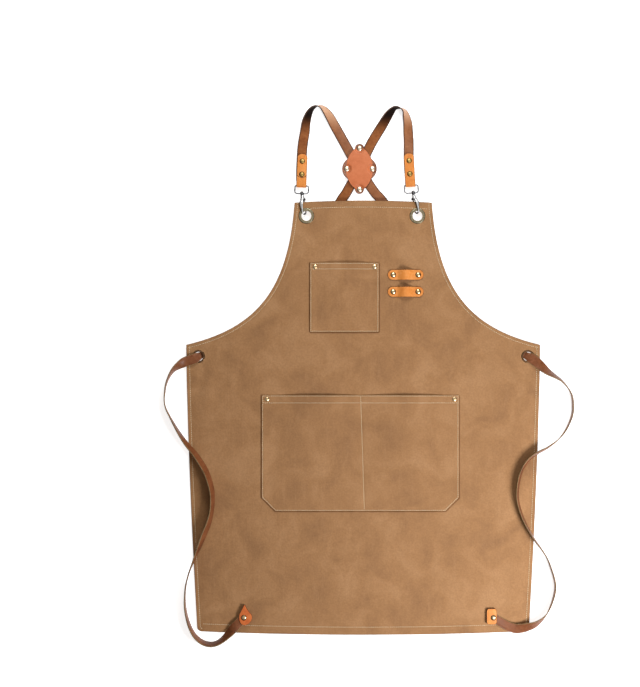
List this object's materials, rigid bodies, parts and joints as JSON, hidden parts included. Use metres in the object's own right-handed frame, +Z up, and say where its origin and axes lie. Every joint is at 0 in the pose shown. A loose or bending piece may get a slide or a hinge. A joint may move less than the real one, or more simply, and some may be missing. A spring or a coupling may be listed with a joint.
{
  "type": "cross-back work apron",
  "caption": "Waxed canvas work apron laid flat, with a crossed leather harness, snap hooks, grommets, pockets, pen loops and loose waist ties.",
  "frame": {"origin": "on the surface that the apron lies on, below the middle of the outline of the cloth and harness", "axes": "+Y from the bottom hem to the bib, +X across the apron to the wearer's left, +Z up, out of the cloth's face"},
  "size_m": [0.773, 1.0211, 0.0247],
  "materials": {
    "waxed_canvas": "waxed, slightly mottled plain weave",
    "pocket_canvas": "waxed, slightly mottled plain weave",
    "turned_hem": "waxed, folded and stitched",
    "strap_leather": "oiled, dark burnished edges",
    "tan_leather": "smooth, semi-matt",
    "patch_leather": "smooth, semi-matt, dark edge",
    "rivet_brass": "polished cap, slightly dulled",
    "grommet_brass": "antique, satin",
    "patch_rivet_nickel": "bright polished cap",
    "nickel": "bright nickel plate",
    "pin_steel": "plain bright wire"
  },
  "bodies": {
    "apron": {"canvas_panel": "waxed_canvas", "top_hem": "turned_hem", "bottom_hem": "turned_hem", "left_side_hem": "turned_hem", "right_side_hem": "turned_hem", "left_armhole_hem": "turned_hem", "right_armhole_hem": "turned_hem", "chest_pocket": "pocket_canvas", "chest_pocket_hem": "turned_hem", "chest_pocket_rivets": "rivet_brass", "lower_pocket": "pocket_canvas", "lower_pocket_hem": "turned_hem", "lower_pocket_rivets": "rivet_brass", "upper_pen_loop": "tan_leather", "lower_pen_loop": "tan_leather", "pen_loop_rivets": "rivet_brass", "cloth_rivet_backs": "rivet_brass", "left_bib_grommet": "grommet_brass", "right_bib_grommet": "grommet_brass", "left_bib_washer": "grommet_brass", "right_bib_washer": "grommet_brass", "left_waist_grommet": "grommet_brass", "right_waist_grommet": "grommet_brass", "left_waist_washer": "grommet_brass", "right_waist_washer": "grommet_brass", "left_shoulder_strap": "strap_leather", "right_shoulder_strap": "strap_leather", "left_tie": "strap_leather", "right_tie": "strap_leather", "left_strap_tab": "tan_leather", "right_strap_tab": "tan_leather", "left_tab_rivets": "rivet_brass", "right_tab_rivets": "rivet_brass", "left_tab_rivet_backs": "rivet_brass", "right_tab_rivet_backs": "rivet_brass", "patch_front": "patch_leather", "patch_back": "patch_leather", "patch_rivets": "patch_rivet_nickel", "patch_rivet_backs": "patch_rivet_nickel", "left_tie_tab": "tan_leather", "right_tie_tab": "tan_leather", "left_tie_tab_rivet": "rivet_brass", "right_tie_tab_rivet": "rivet_brass", "left_eye": "nickel", "right_eye": "nickel"},
    "left_snap_hook": {"left_hook": "nickel", "left_gate_pin": "pin_steel", "left_gate_spring": "pin_steel"},
    "left_snap_gate": {"left_gate": "nickel"},
    "right_snap_hook": {"right_hook": "nickel", "right_gate_pin": "pin_steel", "right_gate_spring": "pin_steel"},
    "right_snap_gate": {"right_gate": "nickel"}
  },
  "joints": [
    {"name": "left_swivel", "type": "hinge", "parent": "apron", "child": "left_snap_hook", "pos_m": [-0.1155, 0.3329, 0.0077], "axis": [-0.1236, 0.9923, 0], "range_deg": [-10, 8]},
    {"name": "right_swivel", "type": "hinge", "parent": "apron", "child": "right_snap_hook", "pos_m": [0.0945, 0.3343, 0.0077], "axis": [0.1874, -0.9823, 0], "range_deg": [-10, 8]},
    {"name": "left_gate_hinge", "type": "hinge", "parent": "left_snap_hook", "child": "left_snap_gate", "pos_m": [-0.11159, 0.3217, 0.00337], "axis": [-0.8594, -0.107, -0.5], "range_deg": [0, 10], "stiffness_Nm_per_rad": 0.02, "springref_deg": -20.05},
    {"name": "right_gate_hinge", "type": "hinge", "parent": "right_snap_hook", "child": "right_snap_gate", "pos_m": [0.09422, 0.32244, 0.00337], "axis": [-0.8507, -0.1623, 0.5], "range_deg": [0, 10], "stiffness_Nm_per_rad": 0.02, "springref_deg": -20.05}
  ]
}
